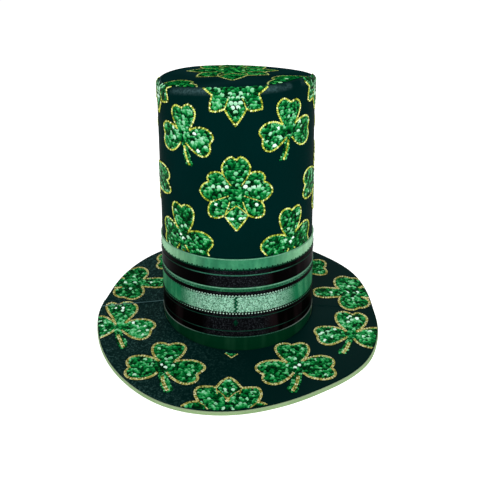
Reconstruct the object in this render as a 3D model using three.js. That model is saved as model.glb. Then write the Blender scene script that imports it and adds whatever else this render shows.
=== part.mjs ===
import * as THREE from "three";

// A tall printed leprechaun hat: a flat foam brim under two printed covers, a leaning hollow crown with
// a top disc, and a band of seven strips round the foot of the crown.
// Millimetres and degrees, +Z up. The origin is on the surface that the hat rests on, under the middle
// of the brim. The front of the hat faces -Y. Azimuth 0 is the front and +90 is the +X side.

// Crown
const CROWN_HEIGHT = 290;
const CROWN_BASE_RADIUS = 94.7;
const CROWN_TOP_RADIUS = 88.1;
const CROWN_WALL = 3;
const CROWN_EDGE_ROUND = 5;
const CROWN_SETBACK = 12;
const CROWN_SET_RIGHT = 1.6;
const CROWN_LEAN_BACK = 7;
const CROWN_LEAN_LEFT = 0.5;
const TIP_THICKNESS = 3;
const TIP_BULGE = 1.5;

// Brim
const BRIM_RADIUS = 178;
const FOAM_THICKNESS = 3.6;
const FOAM_BEVEL = 2;
const COVER_THICKNESS = 1;
const COVER_INSET = 0.6;
const SEAM_RIDGE = 1.1;
const SEAM_RIDGE_WIDTH = 4;
const SEAM_LEFT = -90;
const SEAM_RIGHT = 84;

// Band
const BAND_HEIGHT = 107;
const BAND_THICKNESS = 1;
const BAND_BACK_RISE = 10;
const STRIP_LEAST_HEIGHT = 1.5;

// Clearance between pieces that touch on the real hat
const GAP = 0.3;

// Steps
const STEP = 5;
const EDGE_STEPS = 4;
const WALL_LEVELS = 5;
const TIP_RINGS = 5;

// The brim's outline: how far it reaches from the brim's middle, as a share of BRIM_RADIUS.
const BRIM_OUTLINE = [
  { azimuth: -180, reach: 1.0 },
  { azimuth: -135, reach: 0.996 },
  { azimuth: -112, reach: 0.98 },
  { azimuth: -97, reach: 0.973 },
  { azimuth: -89, reach: 0.994 },
  { azimuth: -76, reach: 0.996 },
  { azimuth: -60, reach: 1.008 },
  { azimuth: -45, reach: 1.022 },
  { azimuth: -25, reach: 1.04 },
  { azimuth: -10, reach: 1.026 },
  { azimuth: 0, reach: 1.01 },
  { azimuth: 11, reach: 0.99 },
  { azimuth: 24, reach: 0.979 },
  { azimuth: 34, reach: 0.983 },
  { azimuth: 45, reach: 1.007 },
  { azimuth: 57, reach: 1.03 },
  { azimuth: 70, reach: 1.018 },
  { azimuth: 81, reach: 1.005 },
  { azimuth: 88, reach: 0.992 },
  { azimuth: 98, reach: 1.0 },
  { azimuth: 116, reach: 1.021 },
  { azimuth: 135, reach: 1.0 },
];

// How far the foam shows past the covers, as a share of FOAM_BEVEL.
const FOAM_SHOWING = [
  { azimuth: -180, width: 0.3 },
  { azimuth: -90, width: 0.3 },
  { azimuth: -45, width: 0.45 },
  { azimuth: 0, width: 0.8 },
  { azimuth: 30, width: 1.0 },
  { azimuth: 42, width: 0.85 },
  { azimuth: 55, width: 1.0 },
  { azimuth: 65, width: 0.45 },
  { azimuth: 84, width: 0.3 },
];

// The soft top edge of the crown rises and falls, as a share of CROWN_HEIGHT.
const CROWN_RIM = [
  { azimuth: -180, rise: 0 },
  { azimuth: -135, rise: 0.004 },
  { azimuth: -90, rise: -0.005 },
  { azimuth: -60, rise: -0.016 },
  { azimuth: -30, rise: -0.005 },
  { azimuth: 0, rise: 0 },
  { azimuth: 30, rise: 0.004 },
  { azimuth: 52, rise: 0.011 },
  { azimuth: 78, rise: 0.004 },
  { azimuth: 105, rise: -0.002 },
  { azimuth: 140, rise: -0.004 },
];

// The strips of the band from the top down. Each starts where the one above ends, and top is the height
// of its upper edge at the front of the crown, as a share of BAND_HEIGHT.
const STRIPS = [
  { name: "band_ribbon_top", top: 1.0, color: 0x4f9a74, roughness: 0.45 },
  { name: "band_satin_upper", top: 0.871, color: 0x141010, roughness: 0.35 },
  { name: "band_ribbon_narrow", top: 0.672, color: 0x2f7a56, roughness: 0.45 },
  { name: "band_satin_middle", top: 0.621, color: 0x0c0a0a, roughness: 0.4 },
  { name: "band_ribbon_mint", top: 0.572, color: 0x8fd0ae, roughness: 0.5 },
  { name: "band_satin_lower", top: 0.374, color: 0x181214, roughness: 0.35 },
  { name: "band_ribbon_bottom", top: 0.08, color: 0x0b4a2c, roughness: 0.45 },
];

const CLOTH_COLOR = 0x03211d;
const FOAM_COLOR = 0x9cc486;

// A smooth closed curve through the rows of a table, by azimuth.
function aroundTable(table, column) {
  const count = table.length;
  const turn = 360;
  return (azimuth) => {
    const wrapped = THREE.MathUtils.euclideanModulo(azimuth + turn / 2, turn) - turn / 2;
    let row = count - 1;
    while (row > 0 && table[row].azimuth > wrapped) {
      row -= 1;
    }
    const at = (index) => {
      const laps = Math.floor(index / count);
      const entry = table[index - laps * count];
      return { azimuth: entry.azimuth + laps * turn, value: entry[column] };
    };
    const [before, from, to, after] = [at(row - 1), at(row), at(row + 1), at(row + 2)];
    const span = to.azimuth - from.azimuth;
    const t = (wrapped - from.azimuth) / span;
    const slopeFrom = ((to.value - before.value) / (to.azimuth - before.azimuth)) * span;
    const slopeTo = ((after.value - from.value) / (after.azimuth - from.azimuth)) * span;
    return (
      from.value * (2 * t ** 3 - 3 * t ** 2 + 1) +
      slopeFrom * (t ** 3 - 2 * t ** 2 + t) +
      to.value * (3 * t ** 2 - 2 * t ** 3) +
      slopeTo * (t ** 3 - t ** 2)
    );
  };
}

const brimReach = aroundTable(BRIM_OUTLINE, "reach");
const foamShowing = aroundTable(FOAM_SHOWING, "width");
const rimRise = aroundTable(CROWN_RIM, "rise");

// A unit vector that points away from the middle at an azimuth.
function outward(azimuth) {
  const angle = THREE.MathUtils.degToRad(azimuth);
  return new THREE.Vector3(Math.sin(angle), -Math.cos(angle), 0);
}

// The azimuths from one to another in even steps, both included.
function sweep(from, to, step) {
  const count = Math.max(1, Math.round((to - from) / step));
  return Array.from({ length: count + 1 }, (_, i) => from + ((to - from) * i) / count);
}

// A closed body from rows of points. Each row holds the points of its outer face, from the foot up or
// from the outer edge in, and in pairs with them those of its inner face. A ring closes on itself, and
// another body has flat ends.
function bodyFromRows(rows, isRing) {
  const pairs = rows[0].face.length;
  const loops = rows.map((row) => [...row.face, ...row.back.toReversed()]);
  const points = loops.flat();
  const perRow = 2 * pairs;
  const index = [];
  const addTriangle = (a, b, c) => {
    const [pa, pb, pc] = [points[a], points[b], points[c]];
    const flat = pa.equals(pb) || pb.equals(pc) || pc.equals(pa);
    if (!flat) {
      index.push(a, b, c);
    }
  };
  const addQuad = (a, b, c, d) => {
    addTriangle(a, b, c);
    addTriangle(a, c, d);
  };
  const bays = isRing ? rows.length : rows.length - 1;
  for (let bay = 0; bay < bays; bay += 1) {
    const here = bay * perRow;
    const next = ((bay + 1) % rows.length) * perRow;
    for (let j = 0; j < perRow; j += 1) {
      const k = (j + 1) % perRow;
      addQuad(here + j, next + j, next + k, here + k);
    }
  }
  if (!isRing) {
    const last = (rows.length - 1) * perRow;
    for (let j = 0; j + 1 < pairs; j += 1) {
      const opposite = perRow - 1 - j;
      addQuad(j, j + 1, opposite - 1, opposite);
      addQuad(last + opposite, last + opposite - 1, last + j + 1, last + j);
    }
  }
  const geometry = new THREE.BufferGeometry().setFromPoints(points);
  geometry.setIndex(index);
  geometry.computeVertexNormals();
  return geometry;
}

function addPiece(group, name, geometry, color, roughness) {
  const material = new THREE.MeshStandardMaterial({ color, roughness, metalness: 0 });
  const mesh = new THREE.Mesh(geometry, material);
  mesh.name = name;
  group.add(mesh);
}

const AROUND = sweep(-180, 180 - STEP, STEP);

const hat = new THREE.Group();

const COVER_LEVEL = FOAM_THICKNESS + GAP;
const BRIM_TOP = COVER_LEVEL + COVER_THICKNESS;
const BAND_OFFSET = GAP + BAND_THICKNESS;

// The crown leans, so its pieces are made upright in a group that is set back and turned. The group's
// origin is halfway through the brim.
const crown = new THREE.Group();
crown.position.set(CROWN_SET_RIGHT, CROWN_SETBACK, BRIM_TOP / 2);
crown.rotation.set(
  THREE.MathUtils.degToRad(-CROWN_LEAN_BACK),
  THREE.MathUtils.degToRad(-CROWN_LEAN_LEFT),
  0,
);
hat.add(crown);
hat.updateMatrixWorld(true);

function crownRadius(height) {
  const share = height / CROWN_HEIGHT;
  return CROWN_BASE_RADIUS + (CROWN_TOP_RADIUS - CROWN_BASE_RADIUS) * share;
}

// A point in the crown's own frame, at an azimuth and a height, this far outside the crown's surface.
function crownPoint(azimuth, height, offset) {
  const point = outward(azimuth).multiplyScalar(crownRadius(height) + offset);
  point.z = height;
  return point;
}

// The height in the crown's own frame at which a line up its wall crosses a level of the brim.
function heightAtLevel(azimuth, level, offset) {
  let height = 0;
  for (let pass = 0; pass < 6; pass += 1) {
    const point = crownPoint(azimuth, height, offset).applyMatrix4(crown.matrixWorld);
    height += level - point.z;
  }
  return height;
}

// Where the crown's wall, or a surface this far outside it, crosses a level of the brim.
function wallAtLevel(azimuth, level, offset) {
  const height = heightAtLevel(azimuth, level, offset);
  const point = crownPoint(azimuth, height, offset).applyMatrix4(crown.matrixWorld);
  point.z = level;
  return point;
}

function atLevel(point, level) {
  return point.clone().setZ(level);
}

// Where the line out from the foot of the crown at an azimuth meets the brim's outline.
function outlinePoint(azimuth) {
  const start = atLevel(crown.position, 0);
  const direction = outward(azimuth);
  const along = start.dot(direction);
  const point = new THREE.Vector3();
  let bearing = azimuth;
  for (let pass = 0; pass < 8; pass += 1) {
    const reach = BRIM_RADIUS * brimReach(bearing);
    const distance = -along + Math.sqrt(along ** 2 + reach ** 2 - start.lengthSq());
    point.copy(start).addScaledVector(direction, distance);
    bearing = THREE.MathUtils.radToDeg(Math.atan2(point.x, -point.y));
  }
  return point;
}

// The foam brim is one flat ring. It carries the crown at its inner edge, and its outer edge is cut at
// a slant that is widest at the right of the front.
function foamRow(azimuth) {
  const edge = outlinePoint(azimuth);
  const bevel = FOAM_BEVEL * foamShowing(azimuth);
  const upper = edge.clone().addScaledVector(outward(azimuth), -bevel);
  return {
    face: [atLevel(upper, FOAM_THICKNESS), wallAtLevel(azimuth, FOAM_THICKNESS, -CROWN_WALL)],
    back: [edge, wallAtLevel(azimuth, 0, -CROWN_WALL)],
  };
}

// A cover lies on the foam from the band to the slanted edge. At the left seam the front cover is folded
// under, and its edge stands up as a ridge.
function coverRow(azimuth, ridge, shift) {
  const direction = outward(azimuth);
  const side = new THREE.Vector3(-direction.y, direction.x, 0).multiplyScalar(shift);
  const margin = FOAM_BEVEL * foamShowing(azimuth) + COVER_INSET;
  const edge = outlinePoint(azimuth).addScaledVector(direction, -margin);
  const place = (start, level, extra) => atLevel(start.clone().add(side), level + extra);
  const innerTop = wallAtLevel(azimuth, BRIM_TOP, BAND_OFFSET).addScaledVector(direction, GAP);
  const innerBottom = wallAtLevel(azimuth, COVER_LEVEL, BAND_OFFSET).addScaledVector(direction, GAP);
  return {
    face: [place(edge, BRIM_TOP, ridge), place(innerTop, BRIM_TOP, ridge)],
    back: [place(edge, COVER_LEVEL, 0), place(innerBottom, COVER_LEVEL, 0)],
  };
}

function addBrim() {
  addPiece(hat, "brim_foam", bodyFromRows(AROUND.map(foamRow), true), FOAM_COLOR, 0.9);

  const ridgeSpan = THREE.MathUtils.radToDeg(SEAM_RIDGE_WIDTH / BRIM_RADIUS);
  const halfGap = GAP / 2;
  const frontAzimuths = [
    SEAM_LEFT,
    SEAM_LEFT + ridgeSpan / 2,
    ...sweep(SEAM_LEFT + ridgeSpan, SEAM_RIGHT, STEP),
  ];
  const frontRows = frontAzimuths.map((azimuth, i) => {
    const ridge = i < 2 ? SEAM_RIDGE : 0;
    const shift = i === 0 ? halfGap : i === frontAzimuths.length - 1 ? -halfGap : 0;
    return coverRow(azimuth, ridge, shift);
  });
  addPiece(hat, "brim_cover_front", bodyFromRows(frontRows, false), CLOTH_COLOR, 0.5);

  const backAzimuths = sweep(SEAM_RIGHT, 360 + SEAM_LEFT, STEP);
  const backRows = backAzimuths.map((azimuth, i) => {
    const shift = i === 0 ? halfGap : i === backAzimuths.length - 1 ? -halfGap : 0;
    return coverRow(azimuth, 0, shift);
  });
  addPiece(hat, "brim_cover_back", bodyFromRows(backRows, false), CLOTH_COLOR, 0.5);
}

// The crown's side is a tube that stands on the foam. Its top edge is rounded inwards, and ends at the
// seam of the top disc.
function crownSideRow(azimuth) {
  const rim = CROWN_HEIGHT * (1 + rimRise(azimuth));
  const turnHeight = rim - CROWN_EDGE_ROUND;
  const foot = heightAtLevel(azimuth, COVER_LEVEL, 0);
  const innerFoot = heightAtLevel(azimuth, COVER_LEVEL, -CROWN_WALL);
  const face = [];
  const back = [];
  for (let i = 0; i < WALL_LEVELS; i += 1) {
    const share = i / WALL_LEVELS;
    face.push(crownPoint(azimuth, THREE.MathUtils.lerp(foot, turnHeight, share), 0));
    back.push(crownPoint(azimuth, THREE.MathUtils.lerp(innerFoot, turnHeight, share), -CROWN_WALL));
  }
  for (let i = 0; i <= EDGE_STEPS; i += 1) {
    const angle = ((Math.PI / 2) * i) / EDGE_STEPS;
    const inset = (radius) => radius * Math.cos(angle) - CROWN_EDGE_ROUND;
    const rise = (radius) => radius * Math.sin(angle);
    const inner = CROWN_EDGE_ROUND - CROWN_WALL;
    const offsetPoint = (radius) => {
      const point = crownPoint(azimuth, turnHeight, inset(radius));
      point.z += rise(radius);
      return point;
    };
    face.push(offsetPoint(CROWN_EDGE_ROUND));
    back.push(offsetPoint(inner));
  }
  return { face, back };
}

// The top disc fills the rounded edge, and bulges a little at its middle.
function tipRow(azimuth) {
  const rim = CROWN_HEIGHT * (1 + rimRise(azimuth));
  const rimPoint = crownPoint(azimuth, rim - CROWN_EDGE_ROUND, -CROWN_EDGE_ROUND - GAP);
  const rimRadius = Math.hypot(rimPoint.x, rimPoint.y);
  const face = [];
  const back = [];
  for (let i = 0; i <= TIP_RINGS; i += 1) {
    const share = 1 - i / TIP_RINGS;
    const level = THREE.MathUtils.lerp(rim, CROWN_HEIGHT + TIP_BULGE, 1 - share ** 2);
    const point = outward(azimuth).multiplyScalar(rimRadius * share);
    point.z = level;
    face.push(point);
    back.push(atLevel(point, level - TIP_THICKNESS));
  }
  return { face, back };
}

function addCrown() {
  addPiece(crown, "crown_side", bodyFromRows(AROUND.map(crownSideRow), true), CLOTH_COLOR, 0.5);
  addPiece(crown, "crown_tip", bodyFromRows(AROUND.map(tipRow), true), CLOTH_COLOR, 0.5);
}

// The height of a strip's edge round the crown. It is level round the front and rises at the back, where
// the leaning crown sinks behind the brim.
function stripEdge(azimuth, share) {
  const behind = Math.max(0, -Math.cos(THREE.MathUtils.degToRad(azimuth)));
  return BAND_HEIGHT * share + BAND_BACK_RISE * behind ** 2;
}

function addBand() {
  STRIPS.forEach((strip, i) => {
    const below = STRIPS[i + 1];
    const rows = AROUND.map((azimuth) => {
      const foot = heightAtLevel(azimuth, COVER_LEVEL, BAND_OFFSET);
      const least = heightAtLevel(azimuth, BRIM_TOP, BAND_OFFSET) + STRIP_LEAST_HEIGHT;
      const upper = Math.max(stripEdge(azimuth, strip.top), least);
      const lower = below ? Math.max(stripEdge(azimuth, below.top), least) + GAP : foot;
      return {
        face: [crownPoint(azimuth, lower, BAND_OFFSET), crownPoint(azimuth, upper, BAND_OFFSET)],
        back: [crownPoint(azimuth, lower, GAP), crownPoint(azimuth, upper, GAP)],
      };
    });
    addPiece(crown, strip.name, bodyFromRows(rows, true), strip.color, strip.roughness);
  });
}

addBrim();
addCrown();
addBand();

export default hat;
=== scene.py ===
"""The looks of a printed leprechaun hat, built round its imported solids.

Lengths are in millimetres in the tables and in metres (times MM) in the meshes. The crown has a frame
of its own, which leans as the crown does: an azimuth of 0 faces the front (-Y) and +90 faces +X.
"""

import math

import bmesh
import bpy
import numpy as np
from mathutils import Matrix, Vector, noise
from mathutils.geometry import delaunay_2d_cdt


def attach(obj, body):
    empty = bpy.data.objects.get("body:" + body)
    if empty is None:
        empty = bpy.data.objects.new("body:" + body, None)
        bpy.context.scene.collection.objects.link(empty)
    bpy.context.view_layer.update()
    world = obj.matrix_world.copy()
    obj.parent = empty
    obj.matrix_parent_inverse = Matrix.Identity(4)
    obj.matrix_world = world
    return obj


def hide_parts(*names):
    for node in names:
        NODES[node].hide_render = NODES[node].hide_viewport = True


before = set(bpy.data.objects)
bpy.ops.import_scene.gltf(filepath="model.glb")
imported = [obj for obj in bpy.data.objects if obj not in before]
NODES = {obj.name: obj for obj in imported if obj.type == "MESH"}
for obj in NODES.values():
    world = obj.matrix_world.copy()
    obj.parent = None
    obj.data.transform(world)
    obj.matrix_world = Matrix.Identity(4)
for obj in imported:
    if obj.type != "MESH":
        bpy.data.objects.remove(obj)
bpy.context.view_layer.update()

MM = 0.001
RANDOM = np.random.default_rng(17)

# The crown's sizes, as the solids have them
CROWN_PLACE = (1.6, 12.0, 2.45)
CROWN_LEAN_BACK = 7.0
CROWN_LEAN_LEFT = 0.5
CROWN_HEIGHT = 290.0
CROWN_BASE_RADIUS = 94.7
CROWN_TOP_RADIUS = 88.1
CROWN_EDGE_ROUND = 5.0
TIP_BULGE = 1.5
BRIM_TOP = 4.9
BAND_HEIGHT = 107.0
BAND_BACK_RISE = 10.0
BAND_OUT = 1.3
SEAM_LEFT = -90.0
SEAM_RIGHT = 84.0
SEAM_RIDGE = 1.1
STITCH_LIFT = 0.1
STITCH_PROUD = 0.55

# The fine copies of the solids: which edges count as flat or sharp, and how often they are divided
FLAT_ANGLE = math.radians(20)
SHARP_ANGLE = math.radians(34)
SHADE_ANGLE = math.radians(38)
CREASE = 0.9
SMOOTH_LEVELS = 2

# The print: how far it stays from the cloth's edges, and its sequins and ropes
TOP_GAP = 0.5
REAR_TOP_GAP = 5.0
REAR_GAP_RAMP = 2.5
BAND_GAP = 0.4
TIP_GAP = 0.3
TIP_SHARE = 0.992
RIM_GAP = 0.7
FOOT_GAP = 0.8
SEQUIN_SIDES = 9
SEQUIN_RISE = 0.1
SEQUIN_PITCH = 3.3
SEQUIN_RADIUS = 2.25
SEQUIN_CLEAR = 2.2
SEQUIN_TILT = 0.1
SEQUIN_STACK = 0.22
SMALL_SEQUIN_PITCH = 1.8
SMALL_SEQUIN_RADIUS = 1.15
SMALL_SEQUIN_CLEAR = 0.9
SMALL_SEQUIN_REACH = 2.6
GLINT_RADIUS = 2.45
SEQUIN_LIFT = 0.4
PATCH_LIFT = 0.12
PATCH_STEP = 0.03
PATCH_PITCH = 4.5
ROPE_PITCH = 2.0
ROPE_LIFT = 0.4
THIN_ROPE = 0.7
BROAD_ROPE = 1.35
CROWN_ROPE = 1.12
BRIM_ROPE = 0.98 * 0.84
BRIM_ROPE_APART = 0.98 * 0.8
BEAD_SIZE = (1.42, 0.95, 0.6)
BEAD_SLANT = 36.0


# Frames and small numeric helpers

CROWN = (
    Matrix.Translation(CROWN_PLACE)
    @ Matrix.Rotation(math.radians(-CROWN_LEAN_BACK), 4, "X")
    @ Matrix.Rotation(math.radians(-CROWN_LEAN_LEFT), 4, "Y")
)
CROWN_TURN = np.array(CROWN.to_3x3())
CROWN_ORIGIN = np.array(CROWN.to_translation())


def crown_to_world(points, vectors=()):
    """Points of the crown's frame, and vectors with them, in the hat's frame."""
    moved = points @ CROWN_TURN.T + CROWN_ORIGIN
    return [moved] + [v @ CROWN_TURN.T for v in vectors]


def unit(vectors):
    return vectors / np.linalg.norm(vectors, axis=-1, keepdims=True)


def mesh_points(piece):
    """The vertices of a piece, in millimetres."""
    points = np.zeros(len(piece.data.vertices) * 3, np.float32)
    piece.data.vertices.foreach_get("co", points)
    return points.reshape(-1, 3).astype(float) / MM


def bearings(points):
    """The bearings of points in degrees: 0 at the front (-Y) and 90 at +X."""
    return np.degrees(np.arctan2(points[:, 0], -points[:, 1]))


def by_bearing(points, values):
    """A function that gives values by bearing, from points that have them."""
    turns = bearings(points)
    order = np.argsort(turns)
    return lambda bearing: np.interp(bearing, turns[order], values[order], period=360)


def crown_radius(height):
    return CROWN_BASE_RADIUS + (CROWN_TOP_RADIUS - CROWN_BASE_RADIUS) * height / CROWN_HEIGHT


def outward(azimuth):
    angle = np.radians(azimuth)
    return np.stack([np.sin(angle), -np.cos(angle), np.zeros_like(angle)], -1)


def sideways(away):
    """Level directions that run round the crown, from the ones that point away from it."""
    return np.stack([-away[:, 1], away[:, 0], np.zeros(len(away))], -1)


def read_rim():
    """The height of the crown's soft top edge round the crown."""
    step = 5.0
    points = (mesh_points(NODES["crown_side"]) - CROWN_ORIGIN) @ CROWN_TURN
    turn = np.round(bearings(points) / step).astype(int)
    rows = sorted(set(turn.tolist()))
    tops = np.array([points[turn == row][:, 2].max() for row in rows])
    return lambda azimuth: np.interp(azimuth, np.array(rows) * step, tops, period=360)


def read_cover_edges():
    """How far the brim's covers reach from the brim's middle and where they start round the crown."""
    halfway = 120
    covers = (NODES["brim_cover_front"], NODES["brim_cover_back"])
    points = np.vstack([mesh_points(cover)[:, :2] for cover in covers])
    apart = np.hypot(*(points - CROWN_ORIGIN[:2]).T)
    outer = points[apart > halfway]
    inner = points[apart < halfway] - CROWN_ORIGIN[:2]
    return by_bearing(outer, np.hypot(*outer.T)), by_bearing(inner, np.hypot(*inner.T))


RIM = read_rim()
COVER_REACH, COVER_START = read_cover_edges()


# Surfaces that the print lies on. Each takes places on a motif's own flat chart and how high over the
# cloth they are. It gives their points, the directions of the chart's two axes and the normals there,
# and which of them are on the cloth, at least a margin from its edge.

def on_crown(azimuth, height):
    def place(chart, lift, margin=0.0):
        radius_here = crown_radius(height)
        around = azimuth + np.degrees(chart[:, 0] / radius_here)
        level = height + chart[:, 1]
        rim = RIM(around)
        turn_level = rim - CROWN_EDGE_ROUND
        angle = np.clip((level - turn_level) / CROWN_EDGE_ROUND, 0, math.pi / 2)
        wall_level = np.minimum(level, turn_level)
        radius = crown_radius(wall_level) - CROWN_EDGE_ROUND * (1 - np.cos(angle))
        away = outward(around)
        up = np.array([0.0, 0.0, 1.0])
        normal = away * np.cos(angle)[:, None] + up * np.sin(angle)[:, None]
        point = away * radius[:, None]
        point[:, 2] = wall_level + CROWN_EDGE_ROUND * np.sin(angle)
        point = point + normal * lift
        along = sideways(away)
        rise = np.cross(normal, along)
        behind = np.maximum(0, -np.cos(np.radians(around)))
        band_edge = BAND_HEIGHT + BAND_BACK_RISE * behind**2
        seam = turn_level + CROWN_EDGE_ROUND * math.pi / 2
        rear_gap = REAR_TOP_GAP * np.clip(REAR_GAP_RAMP * behind, 0, 1)
        kept = (level > band_edge + BAND_GAP) & (level < seam - TOP_GAP - margin - rear_gap)
        return *crown_to_world(point, (along, rise, normal)), kept

    return place


def level_axes(count):
    return [np.tile(axis, (count, 1)) for axis in np.eye(3)]


def on_tip(x, y):
    def place(chart, lift, margin=0.0):
        flat = chart + np.array([x, y])
        rim = RIM(bearings(flat))
        edge = crown_radius(rim - CROWN_EDGE_ROUND) - CROWN_EDGE_ROUND - TIP_GAP
        share = np.hypot(*flat.T) / edge
        level = rim + (CROWN_HEIGHT + TIP_BULGE - rim) * (1 - share**2)
        kept = share < TIP_SHARE - margin / edge
        return *crown_to_world(np.column_stack([flat, level + lift]), level_axes(len(flat))), kept

    return place


def on_brim(x, y):
    def place(chart, lift, margin=0.0):
        flat = chart + np.array([x, y])
        foot = flat - CROWN_ORIGIN[:2]
        kept = np.hypot(*flat.T) < COVER_REACH(bearings(flat)) - RIM_GAP - margin
        kept &= np.hypot(*foot.T) > COVER_START(bearings(foot)) + FOOT_GAP + 0.5 * margin
        point = np.column_stack([flat, np.full(len(flat), BRIM_TOP + lift)])
        return point, *level_axes(len(flat)), kept

    return place


# Charts of the print's motifs, in millimetres from each motif's middle. A third value of 1 marks a
# corner, and the line runs smoothly through every other place.

ROSETTE_RIGHT = [
    (0, 35.5, 1), (4.9, 39), (11, 35.5), (15, 28.5), (14.2, 20.5, 1), (20.6, 22.3), (27.6, 20.9),
    (31.4, 15.8), (30.2, 11, 1), (36.2, 7.4), (40.2, 1.1), (38.9, -4), (33.8, -9), (27.4, -11.6, 1),
    (30.3, -17), (30.8, -24), (28.2, -28.6), (20.8, -29.6), (12.9, -26.5, 1), (9.4, -32), (0, -44.2, 1),
]
ROSETTE_LINES = [
    [(14.2, 20.5), (10, 13.5), (5.3, 7.3)],
    [(27.4, -11.6), (19.5, -8.3), (8.2, -3.9)],
    [(12.9, -26.5), (9.5, -18), (7, -10.7)],
    [(12.9, -26.5), (6, -19.5), (0, -15)],
]
TOP_ROSETTE = [
    (-34, -7.5, 1), (-23.2, -14.5, 1), (-25.4, -22.6), (-26, -30, 1), (-19.5, -30.6), (-11, -28, 1),
    (-6, -36.4), (0, -44.5, 1), (6, -36.4), (11, -28, 1), (16.6, -30), (26.8, -28.4, 1), (26.4, -22.4),
    (23.2, -14, 1), (34, -7, 1), (34, 14, 1), (-34, 14, 1),
]
TOP_ROSETTE_LINES = [
    [(-11, -28), (-8.8, -22.5), (-6.6, -16.6)],
    [(11, -28), (8.8, -22.5), (6.8, -16.6)],
]
BRIM_ROSETTE = [
    (1.4, 46.5, 1), (-6.6, 40.5), (-12.8, 31.4, 1), (-21.6, 32.4), (-30.2, 32), (-34.6, 28),
    (-35, 20.4), (-31, 10.6, 1), (-39.6, 9.6), (-45.6, 6.2), (-54, -2, 1), (0, -30, 1), (54, -3, 1),
    (43.2, 4.1), (38.1, 7.8), (31.8, 10, 1), (35.6, 20), (33.6, 29.2), (26, 31), (15, 30.2, 1),
    (8.7, 39.8), (1.4, 46.5, 1),
]
BRIM_ROSETTE_LINES = [
    [(-12.8, 31.4), (-11.4, 21.5)],
    [(-11, 26.2), (-5.4, 20.6), (-0.7, 13.2)],
    [(15, 30.2), (12.6, 21.5)],
    [(12.6, 26.2), (6, 21), (-0.7, 13.2)],
    [(-31, 10.6), (-25.7, 6.4), (-20.5, 0)],
    [(31.8, 10), (25.4, 4), (19.8, -0.8)],
]
TRIANGLE = [(-7.6, 6.4, 1), (0, -1.4, 1), (7.4, 5.4, 1)]
SHAMROCK_LEAVES = [[
    (-8.1, 4.3, 1), (-13, 11.6), (-16.6, 19.4), (-15.4, 25.3), (-9.8, 28.6), (-1.9, 26.8, 1),
    (6.1, 31), (11.9, 29.2), (15.5, 23.7), (13.9, 15.9), (8.3, 5, 1),
], [
    (-8.1, 4.3, 1), (-17.5, 8.4), (-28, 9.2), (-35, 3.8), (-32, -4.4, 1), (-34, -11.9),
    (-29.6, -18.2), (-20.7, -20.3), (-11.6, -17), (-3.7, -9.1, 1),
], [
    (8.3, 5, 1), (14.6, 7.9), (20.9, 9), (28.2, 7.6), (33.8, 3), (35, -1.8), (31.4, -7.2, 1),
    (31.6, -14.4), (28, -19.6), (22.5, -20.9), (15.6, -18.3), (8.6, -13.3), (2.9, -8.6, 1),
]]
SHAMROCK_STEM = [
    (-2.6, -6, 1), (-1.2, -14), (0.6, -24), (4.2, -33.2, 1), (11.8, -32.4, 1), (7.6, -21), (5.4, -13),
    (4.2, -6, 1),
]
SHAMROCK_STEM_GOLD = [(0.9, -11.5), (2.2, -19), (4.6, -26.5), (7.6, -32)]
BIG_LEAVES = [[
    (-4.9, 8.7, 1), (-10, 14.5), (-14.9, 24.8), (-15.3, 33.5), (-12, 38.8), (-6.7, 40.3),
    (-1.2, 38.8), (4, 36.3, 1), (7.7, 38.8), (13.6, 39.4), (19.7, 37.2), (23.2, 31.7),
    (22.4, 24.8), (18.5, 16), (12.4, 8.4, 1),
], [
    (-6.2, 9.5, 1), (-12.9, 13.7), (-21.4, 17.1), (-29.6, 17.9), (-37.4, 15.7), (-41.7, 10.4),
    (-41, 3.7), (-37.5, -1.9, 1), (-40.9, -6.8), (-40.4, -13.1), (-35.1, -18), (-26.5, -19.8),
    (-17.9, -18.5), (-10.6, -15.1), (-5.2, -9.1, 1),
], [
    (11, 6.6, 1), (15.1, 8.6), (22.9, 10), (32.1, 9.7), (40.2, 7), (46.2, 1.3), (46.7, -4.4),
    (42.8, -9.1), (38.4, -13.1, 1), (40.2, -18.5), (37.5, -24), (31.2, -27), (24.6, -26.8),
    (17.8, -23.3), (10.6, -17.0), (4.9, -9.1, 1),
]]
BIG_STEM = [
    (-4.1, -8.3, 1), (-2.2, -20.8), (1.2, -31.4), (4.7, -39, 1), (9.6, -40), (14.5, -35.6, 1),
    (9.8, -25.4), (5.8, -13.1, 1),
]
BIG_NODE = [(-6, 9, 1), (12, 8, 1), (6, -9.5, 1), (-5, -9.5, 1)]
BIG_STEM_GOLD = [(0.5, -14.6), (2.6, -23.9), (5.5, -31.4), (8.8, -37.4)]
LEFT_LEAVES = [[
    (-5, 6, 1), (-9.7, 17.9), (-16.6, 29.1), (-21.7, 39.5), (-22.7, 47.9), (-17.2, 51.6),
    (-7.3, 46.5, 1), (-3.4, 51.5), (2.8, 53.3), (9.7, 50.8), (15.7, 44.4), (17.4, 34.9),
    (14.5, 26.4), (10.5, 17.9), (6.4, 10, 1),
], [
    (-5, 9, 1), (-8.7, 12.3), (-15.7, 18.6), (-22.8, 23), (-30, 23), (-40, 19), (-44, 10),
    (-40, 0, 1), (-42, -10), (-36, -18), (-28.5, -20), (-21.2, -18.7), (-13.7, -14.1),
    (-8.2, -8.9), (-4.5, -3.2, 1),
], [
    (6.4, 10, 1), (13.1, 14.6), (21.1, 16.9), (30.5, 16.9), (38.2, 13.6), (42.9, 9), (43.9, 2.6),
    (39.7, -3.2, 1), (40, -9.5), (37.9, -16.3), (31.4, -20.6), (24.3, -19.7), (16.7, -15.7),
    (9.7, -9.5), (4, -4, 1),
]]
LEFT_STEM = [
    (-3.4, -7, 1), (2.3, -24.8), (7.1, -36.1), (10.5, -38.4, 1), (16.2, -33.7, 1), (13.2, -24.8),
    (7.7, -15.7), (3.9, -7, 1),
]
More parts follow.
